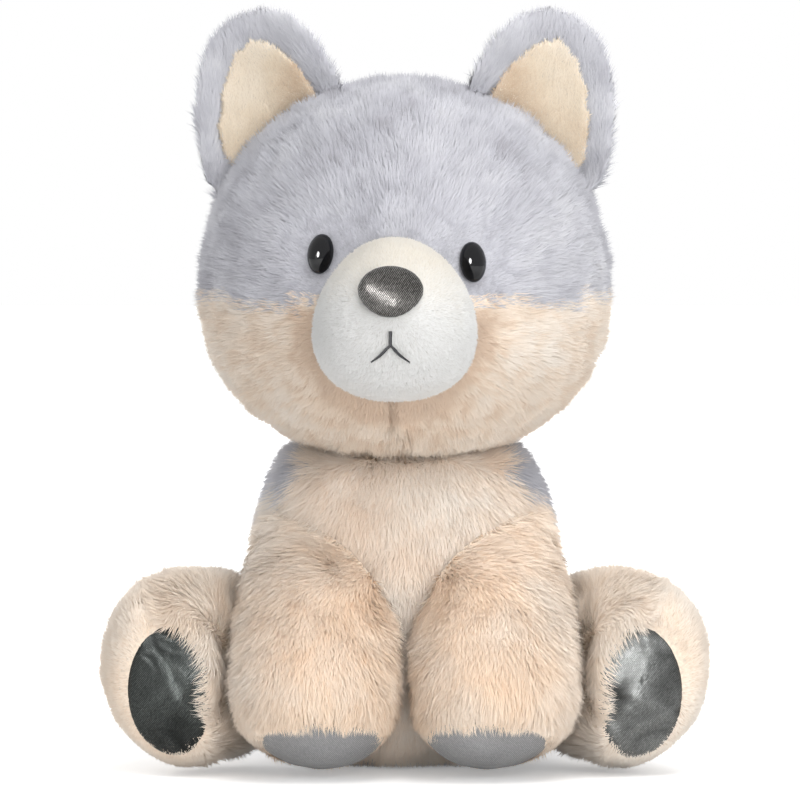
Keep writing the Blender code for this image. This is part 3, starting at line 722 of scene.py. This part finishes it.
bodySkin = drapedSkin("bodyCloth", ["body_back_cover", "body_chest_cover"], ["body_filling"], [], bodyValues)
zones = zoneOf(bodySkin.data)
low, high = torsoLay["besideHeight"]
for vert in bodySkin.data.vertices:
    # Beside the arms and under the chin the nearest cover is the back's, but the chest's shows
    besideArm = (armTree.find_nearest(vert.co)[3] < torsoLay["besideArm"]
                 and vert.co.y < torsoLay["besideFront"] and low < vert.co.z < high)
    underChin = (vert.co.z > torsoLay["chinBottom"] and vert.co.y < torsoLay["chinFront"]
                 and abs(vert.co.x) < torsoLay["chinHalf"])
    if besideArm or underChin:
        zones[vert.index] = 1
bodySkin.data.attributes["zone"].data.foreach_set("value", zones)
groom(bodySkin, [0], evenFlow((0.0, 0.45, -1.0)), overArms)
growPile("bodyBackPile", bodySkin, bodyPile, greyPile)
regroom(bodySkin, [1])
growPile("bodyChestPile", bodySkin, dict(limbPile, Seed=13), chestPileLit)
dress(bodySkin, greySkin, ["body_back_cover", "body_chest_cover", "body_filling"],
      creamSkin, (1,))
print("body done")


# outer gives the arms a paler outside and, together with upper, painted light at their tops
limbLay = {"middle": 0.0215, "aside": (0.010, 0.022), "top": (0.042, 0.060), "forward": 0.45,
           "backward": 0.9, "topForward": 0.5, "topLevel": 0.8, "short": 0.72, "ring": (1.15, 1.7),
           "falls": (0.1, 0.5), "fallSlope": 0.6, "shortDepth": 0.012, "outer": 0.28,
           "outward": (0.006, 0.022), "upper": (0.045, 0.065), "hindPaler": 0.12, "settle": 0.006,
           "settled": (0.050, 0.074)}
soleLay = {"out": np.array([0.0, 0.3, 0.0]), "over": np.array([0.0, -0.2, -0.3]), "swirl": 5.0,
           "slope": 0.5, "inner": (0.2, 0.6), "ring": (1.1, 1.9), "depth": (0.006, 0.014)}


def armFlow(side):
    # Down and on towards the paw in front, and a little back at the sides
    def flow(places):
        aside = ramp(np.abs(places[:, 0] - side * limbLay["middle"]), *limbLay["aside"])
        top = ramp(places[:, 2], *limbLay["top"])
        onward = (limbLay["backward"] * aside - limbLay["forward"]) * (1 - top) - limbLay["topForward"] * top
        return np.stack([side * top, onward, limbLay["topLevel"] * top - 1.0], axis=1)
    return flow


def padOval(pad):
    # The middle of a pad and half of its size
    low, high = (np.array(corner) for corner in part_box(pad))
    return np.array(centreOf(pad)), (high - low) / 2


def padNear(pad, side, upright):
    # Short beside a pad, but full length where the pile falls over its edge
    middle, half = padOval(pad)

    def near(places):
        aside = (places - middle) / half
        ring = np.hypot(aside[:, 0], aside[:, 2])
        falls = aside[:, 2] if upright else limbLay["fallSlope"] * aside[:, 2] - side * aside[:, 0]
        short = (1 - ramp(ring, *limbLay["ring"])) * (1 - ramp(falls, *limbLay["falls"]))
        lengths = 1 - limbLay["short"] * short * (places[:, 1] < middle[1] + limbLay["shortDepth"])
        if not upright:
            return lengths, limbLay["hindPaler"]
        # On the arms the pile is paler towards the outside, and paler towards the top as painted light where
        # the head shades it
        outward = ramp(side * places[:, 0] - limbLay["middle"], *limbLay["outward"])
        return lengths, limbLay["outer"] * (outward + ramp(places[:, 2], *limbLay["upper"]))
    return near


def soleFlow(pad, side):
    # Away from the middle of the sole and back along the leg, but over the pad's upper and inner edge
    middle, half = padOval(pad)

    def flow(places):
        aside = places - middle
        out = unit(aside)
        ring = np.hypot(aside[:, 0] / half[0], aside[:, 2] / half[2])
        inner = soleLay["slope"] * aside[:, 2] / half[2] - side * aside[:, 0] / half[0]
        inner = ramp(inner, *soleLay["inner"])
        over = inner * (1 - ramp(ring, *soleLay["ring"])) * (1 - ramp(aside[:, 1], *soleLay["depth"]))
        over = over[:, None]
        swirl = np.cross(out, np.array([0.0, -side, 0.0])) * soleLay["swirl"] * over * (1 - over)
        return (out + soleLay["out"]) * (1 - over) + (soleLay["over"] - out) * over + swirl
    return flow


def settle(skin):
    # The top of an arm goes into the torso at a low angle, so that the two piles meet without a step
    places = arrayOf(skin.data, "co", 3)
    places[:, 1] += limbLay["settle"] * ramp(places[:, 2], *limbLay["settled"])
    movePlaces(skin.data, places)


limbSkins = {}
for label, side in sides.items():
    for limb in ("front", "hind"):
        cover = limb + "_leg_" + label + "_cover"
        filling = limb + "_leg_" + label + "_filling"
        pad = limb + "_paw_pad_" + label
        skin = drapedSkin(limb + "LegCloth_" + label, [cover], [filling], [pad], limbValues)
        isFront = limb == "front"
        near = padNear(pad, side, isFront)
        raised(skin, near, limbValues["inset"])
        if isFront:
            settle(skin)
        groom(skin, [0], armFlow(side) if isFront else soleFlow(pad, side), near)
        growPile(limb + "LegPile_" + label, skin, dict(limbPile, Seed=20 + len(label)),
                 armPile if isFront else palePile)
        dress(skin, creamSkin, [cover, filling])
        limbSkins[pad] = skin
print("legs done")

# Tail
tailSkin = drapedSkin("tailCloth", ["tail_cover", "tail_tip_cover"], ["tail_filling"], [], limbValues)
groom(tailSkin, [0], evenFlow(centreOf("tail_tip_cover") - centreOf("tail_cover")))
growPile("tailPile", tailSkin, dict(bodyPile, Seed=31), greyPile)
regroom(tailSkin, [1])
growPile("tailTipPile", tailSkin, dict(bodyPile, Seed=32), creamPile)
dress(tailSkin, greySkin, ["tail_cover", "tail_tip_cover", "tail_filling"],
      creamSkin, (1,))
print("tail done")


def softCopy(name, node, values):
    # A remeshed copy of one of the thinner pieces
    made = addObject(name, meshOf(name, mergedCopy([node])))
    step = made.modifiers.new("even", "REMESH")
    step.mode = "VOXEL"
    step.voxel_size = values["voxel"]
    ease = made.modifiers.new("ease", "SMOOTH")
    ease.factor = 0.5
    ease.iterations = values["rounds"]
    graph = bpy.context.evaluated_depsgraph_get()
    even = bpy.data.meshes.new_from_object(made.evaluated_get(graph))
    made.modifiers.clear()
    made.data = even
    even.shade_smooth()
    return made


# Ears
earValues = {"voxel": 0.0012, "rounds": 6, "inset": 0.0012, "reachNear": 0.003, "reachDepth": 0.006,
             "paler": 0.12}
earPile = {"Density": 11.0e6, "Length": 0.0038, "Width": 0.00036, "Rise": 0.7, "Clump": 1.1,
           "Clump Scale": 120.0, "Stray": 0.3, "Patch Scale": 60.0, "Patch": 1.2, "Crease": 0.2,
           "Mottle": 0.07, "Relief": 0.13, "Seed": 40}
liningValues = {"voxel": 0.0006, "rounds": 5, "reachNear": 0.002, "reachDepth": 0.005, "liningFoldShade": 0.40,
                "fold": (0.028, 0.038), "paler": 0.25, "point": (0.165, 0.188)}
liningStrands = {"Density": 15.0e6, "Length": 0.0014, "Width": 0.0003, "Rise": 0.7, "Clump": 0.6,
                 "Clump Scale": 160.0, "Stray": 0.5, "Patch Scale": 70.0, "Patch": 0.8, "Crease": 0.1,
                 "Mottle": 0.05, "Relief": 0.08, "Seed": 44}
earFlow = evenFlow((0.0, 0.7, 1.0))


def liningNear(places):
    # Paler out towards the point as painted light, darker in the fold beside the crown as painted shade
    inner = 1 - ramp(np.abs(places[:, 0]), *liningValues["fold"])
    point = ramp(places[:, 2], *liningValues["point"])
    return 1.0, liningValues["paler"] * point - liningValues["liningFoldShade"] * inner


def markAll(skin):
    # The same zone everywhere
    made = skin.data.attributes.new("zone", "INT", "POINT")
    made.data.foreach_set("value", np.zeros(len(skin.data.vertices), np.int32))


def shrink(skin, amount):
    places = arrayOf(skin.data, "co", 3)
    movePlaces(skin.data, places - arrayOf(skin.data, "normal", 3) * amount)


for label in sides:
    ear = softCopy("earCloth_" + label, "ear_cover_" + label, earValues)
    shrink(ear, earValues["inset"])
    reachIn(ear, earValues["reachNear"], earValues["reachDepth"])
    markAll(ear)
    groom(ear, [0], earFlow, tone=earValues["paler"])
    growPile("earPile_" + label, ear, earPile, greyPile)
    dress(ear, greySkin, ["ear_cover_" + label])
    lining = softCopy("earLiningCloth_" + label, "ear_lining_" + label, liningValues)
    reachIn(lining, liningValues["reachNear"], liningValues["reachDepth"])
    markAll(lining)
    groom(lining, [0], earFlow, liningNear)
    growPile("earLiningPile_" + label, lining, liningStrands, liningPile)
    dress(lining, liningSkin, ["ear_lining_" + label])
print("ears done")


# Pads and nose
frontPadCloth = wovenMaterial("frontPadCloth", {
    "turn": 0.7, "threads": 800.0, "folds": 60.0, "foldshade": 0.85, "crease": 0.3, "dark": (0.20, 0.20, 0.205),
    "light": (0.37, 0.37, 0.37), "metallic": 0.35, "roughness": 0.5})
hindPadValues = {"turn": -0.7, "threads": 800.0, "folds": 75.0, "foldshade": 0.2, "crease": 1.0,
                 "dark": (0.015, 0.018, 0.017), "light": (0.085, 0.09, 0.086), "metallic": 0.85,
                 "roughness": 0.36}
# The hind pads are shaded and lit copies of one cloth: the right one darker as painted shade, the left one
# lighter as painted light
hindPadCloth = {
    "right": wovenMaterial("hindPadCloth_right_shaded", hindPadValues),
    "left": wovenMaterial("hindPadCloth_left_lit", dict(hindPadValues, dark=(0.09, 0.094, 0.09),
                                                    light=(0.29, 0.295, 0.29)))}
noseCloth = wovenMaterial("noseCloth", {
    "turn": -0.6, "threads": 760.0, "folds": 80.0, "foldshade": 0.8, "crease": 0.15, "dark": (0.02, 0.019, 0.018),
    "light": (0.25, 0.24, 0.228), "metallic": 0.9, "roughness": 0.30})


def padFrame(node):
    # Where a pad is and how its oval lies: its middle, then its width, height and outward directions
    places = arrayOf(nodes[node].data, "co", 3)
    middle = places.mean(0)
    spread, ways = np.linalg.eigh(np.cov((places - middle).T))
    outward, across, along = ways[:, 0], ways[:, 1], ways[:, 2]
    if outward[1] > 0:
        outward = -outward
    aside = places - middle
    sizes = [np.abs(aside @ way).max() for way in (across, along)]
    return middle, across * sizes[0], along * sizes[1], outward


def padPiece(name, node, skin, values):
    # An oval of cloth laid on the limb's skin, pillowed a little and turned down at its rim
    middle, across, along, outward = padFrame(node)
    away = Vector(outward.tolist())
    shape = bmesh.new()
    shape.from_mesh(skin.data)
    tree = BVHTree.FromBMesh(shape)
    shape.free()
    disc = bmesh.new()
    rings = []
    for ring in range(values["rings"] + 1):
        share = ring / values["rings"]
        row = []
        for step in range(1 if ring == 0 else values["sides"]):
            angle = 2 * math.pi * step / values["sides"]
            spot = middle + (across * math.cos(angle) + along * math.sin(angle)) * share
            place, _, _, _ = tree.ray_cast(Vector((spot + outward * values["start"]).tolist()), -away)
            turned = max(0.0, share - values["rimFrom"]) / (1 - values["rimFrom"])
            lift = values["lift"] + values["pillow"] * (1 - share ** 4) - values["rim"] * turned
            row.append(disc.verts.new((place if place else Vector(spot.tolist())) + away * lift))
        rings.append(row)
    for step in range(values["sides"]):
        after = (step + 1) % values["sides"]
        disc.faces.new((rings[0][0], rings[1][step], rings[1][after]))
        for inner, outer in zip(rings[1:], rings[2:]):
            disc.faces.new((inner[step], outer[step], outer[after], inner[after]))
    bmesh.ops.recalc_face_normals(disc, faces=disc.faces)
    smoothed(disc, values["smooth"])
    disc.normal_update()
    if sum((face.normal for face in disc.faces), Vector()).dot(away) < 0:
        bmesh.ops.reverse_faces(disc, faces=disc.faces)
    return addObject(name, meshOf(name, disc))


padValues = {"rings": 14, "sides": 56, "start": 0.02, "lift": 0.0002, "pillow": 0.0009, "rim": 0.0020,
             "rimFrom": 0.9, "smooth": 2}
for label in sides:
    for limb in ("front", "hind"):
        node = limb + "_paw_pad_" + label
        pad = padPiece(limb + "PawPadCloth_" + label, node, limbSkins[node], padValues)
        dress(pad, frontPadCloth if limb == "front" else hindPadCloth[label], [node])

noseValues = {"voxel": 0.0004, "rounds": 6}
nose = softCopy("noseCloth", "nose", noseValues)
dress(nose, noseCloth, ["nose"])
print("pads and nose done")


# Mouth
threadMaterial, _, _ = newMaterial("blackThread", {"Base Color": rgba((0.012, 0.012, 0.015)),
                                                   "Roughness": 0.6})
mouthValues = {"voxel": 0.00015, "rounds": 2, "stem": 0.0043, "stemPull": 0.6, "back": 0.0004,
               "thinner": 0.00004, "taper": 0.00026, "arm": (0.0020, 0.0058)}
mouth = softCopy("mouthThread", "mouth_stitches", mouthValues)
low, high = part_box("mouth_stitches")
places = arrayOf(mouth.data, "co", 3)
belowStem = np.minimum(places[:, 2] - low[2] - mouthValues["stem"], 0.0)
fromStem = np.hypot(places[:, 0] - (low[0] + high[0]) / 2, mouthValues["stemPull"] * belowStem)
mouth.data.transform(Matrix.Translation((0.0, mouthValues["back"], 0.0)))
# The two arms of the mouth taper towards their ends
taper = mouthValues["taper"] * ramp(fromStem, *mouthValues["arm"])
shrink(mouth, (mouthValues["thinner"] + taper)[:, None])
clad(mouth, threadMaterial, ["mouth_stitches"])
print("mouth done")

# Eyes
glossMaterial, _, _ = newMaterial("blackGloss", {"Base Color": rgba((0.004, 0.004, 0.005)), "Roughness": 0.07,
                                                 "Specular IOR Level": 0.3})
eyeValues = {"cuts": 16, "behind": 0.0022}


def eyePoints(label):
    # The eye's places, its washer's middle and the direction from one to the other
    eye = arrayOf(nodes["eye_" + label].data, "co", 3)
    ring = arrayOf(nodes["eye_washer_" + label].data, "co", 3)
    axis = Vector(((eye.max(0) + eye.min(0)) / 2 - ring.mean(0)).tolist()).normalized()
    return eye, Vector(ring.mean(0).tolist()), axis


for label in sides:
    eyePlaces, ringCentre, axis = eyePoints(label)
    across = axis.cross(Vector((0, 0, 1))).normalized()
    upward = across.cross(axis).normalized()
    rel = eyePlaces - np.array(ringCentre)
    depth = rel @ np.array(axis)
    wide = rel @ np.array(across)
    tall = rel @ np.array(upward)
    halfWidth = (wide.max() - wide.min()) / 2
    halfHeight = (tall.max() - tall.min()) / 2
    equator = depth[np.argmax(tall)]
    dome = depth.max() - equator
    ball = quadBall(eyeValues["cuts"])
    for vert in ball.verts:
        out = vert.co.y
        vert.co = (ringCentre + across * (vert.co.x * halfWidth) + upward * (vert.co.z * halfHeight)
                   + axis * (equator - out * (dome if out < 0 else eyeValues["behind"])))
    bmesh.ops.recalc_face_normals(ball, faces=ball.faces)
    eye = addObject("eyeDome_" + label, meshOf("eyeDome", ball))
    clad(eye, glossMaterial, ["eye_" + label])
print("eyes done")

# The washers that hold the eyes, inside the head
washerMaterial, tree, shader = newMaterial("washerPlastic", {"Roughness": 0.45})
cloud = noise(tree, objectPlace(tree), 240.0, 2.0)["Fac"]
tone = blended(tree, cloud, [(0.3, rgba((0.72, 0.72, 0.70))), (0.7, rgba((0.82, 0.82, 0.80)))])
tree.links.new(tone, shader.inputs["Base Color"])
for label in sides:
    washer = nodes["eye_washer_" + label]
    washer.data.materials.clear()
    washer.data.materials.append(washerMaterial)
print("washers done")


# Floor, light and camera
floorValues = {"size": 6.0, "grey": 0.86, "glow": 0.30, "nearby": 0.12, "far": 0.45}
worldValues = {"light": 0.5, "seen": 1.0}
lampValues = {
    "keyLamp": {"place": (0.58, -1.42, 0.14), "size": 1.8, "power": 28.2, "hidden": "visible_glossy"},
    "topLamp": {"place": (0.2, -0.5, 1.15), "size": 0.8, "power": 8.4, "hidden": "visible_glossy"},
    "fillLamp": {"place": (-0.9, -1.15, 0.3), "size": 0.5, "power": 0.8, "hidden": None},
    "backLamp": {"place": (-0.5, 1.45, 0.5), "size": 1.3, "power": 16.0, "hidden": None},
    "catchLamp": {"place": (-0.55, -1.35, 0.50), "size": 0.55, "power": 36.0, "hidden": "visible_diffuse"}}
lampAim = Vector((0.0, 0.0, 0.1))
camValues = {"distance": 2.0, "elevation": 3.0, "aimX": -0.0013, "aimZ": 0.0958, "view": 0.2097,
             "sensor": 36.0}


def seenRays(tree):
    # One where the camera, a mirror or glass looks, nought for light that bounces about
    path = addNode(tree, "ShaderNodeLightPath")
    seen = path.outputs["Is Camera Ray"]
    for name in ("Is Glossy Ray", "Is Transmission Ray"):
        seen = addNode(tree, "ShaderNodeMath", {"operation": "MAXIMUM"},
                       {0: seen, 1: path.outputs[name]}).outputs[0]
    return seen


floorMesh = bmesh.new()
bmesh.ops.create_grid(floorMesh, x_segments=1, y_segments=1, size=floorValues["size"] / 2)
floor = addObject("floor", meshOf("floor", floorMesh))
floorMaterial, tree, shader = newMaterial("paleFloor", {
    "Base Color": rgba((floorValues["grey"],) * 3), "Roughness": 0.9, "Emission Color": white})
away = addNode(tree, "ShaderNodeVectorMath", {"operation": "LENGTH"}, {0: objectPlace(tree)})
rise = addNode(tree, "ShaderNodeMapRange", {"interpolation_type": "SMOOTHSTEP"},
               {"Value": away.outputs["Value"], "From Min": floorValues["nearby"],
                "From Max": floorValues["far"], "To Min": floorValues["glow"], "To Max": 1.0})
glow = addNode(tree, "ShaderNodeMath", {"operation": "MULTIPLY"}, {0: seenRays(tree), 1: rise.outputs[0]})
tree.links.new(glow.outputs[0], shader.inputs["Emission Strength"])
floor.data.materials.append(floorMaterial)
floor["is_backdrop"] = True

world = bpy.data.worlds.new("studio")
bpy.context.scene.world = world
world.use_nodes = True
tree = world.node_tree
tree.nodes.clear()
mixed = addNode(tree, "ShaderNodeMixShader", inputs={0: seenRays(tree)})
for slot, strength in enumerate((worldValues["light"], worldValues["seen"])):
    glow = addNode(tree, "ShaderNodeBackground", inputs={"Color": white, "Strength": strength})
    tree.links.new(glow.outputs[0], mixed.inputs[slot + 1])
out = addNode(tree, "ShaderNodeOutputWorld")
tree.links.new(mixed.outputs[0], out.inputs[0])


for name, values in lampValues.items():
    lamp = bpy.data.lights.new(name, "AREA")
    lamp.shape = "DISK"
    lamp.size = values["size"]
    lamp.energy = values["power"]
    made = bpy.data.objects.new(name, lamp)
    bpy.context.scene.collection.objects.link(made)
    made.location = values["place"]
    made.rotation_euler = (lampAim - Vector(values["place"])).to_track_quat("-Z", "Y").to_euler()
    if values["hidden"]:
        setattr(made, values["hidden"], False)

aim = Vector((camValues["aimX"], 0.0, camValues["aimZ"]))
lift = math.radians(camValues["elevation"])
camera = bpy.data.objects.new("camera", bpy.data.cameras.new("camera"))
bpy.context.scene.collection.objects.link(camera)
camera.location = aim + Vector((0.0, -math.cos(lift), math.sin(lift))) * camValues["distance"]
camera.rotation_euler = (aim - camera.location).to_track_quat("-Z", "Y").to_euler()
camera.data.sensor_width = camValues["sensor"]
camera.data.lens = camValues["sensor"] * camValues["distance"] / camValues["view"]
bpy.context.scene.camera = camera
bpy.context.scene.view_settings.view_transform = "Standard"
print("studio done")

low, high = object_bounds()
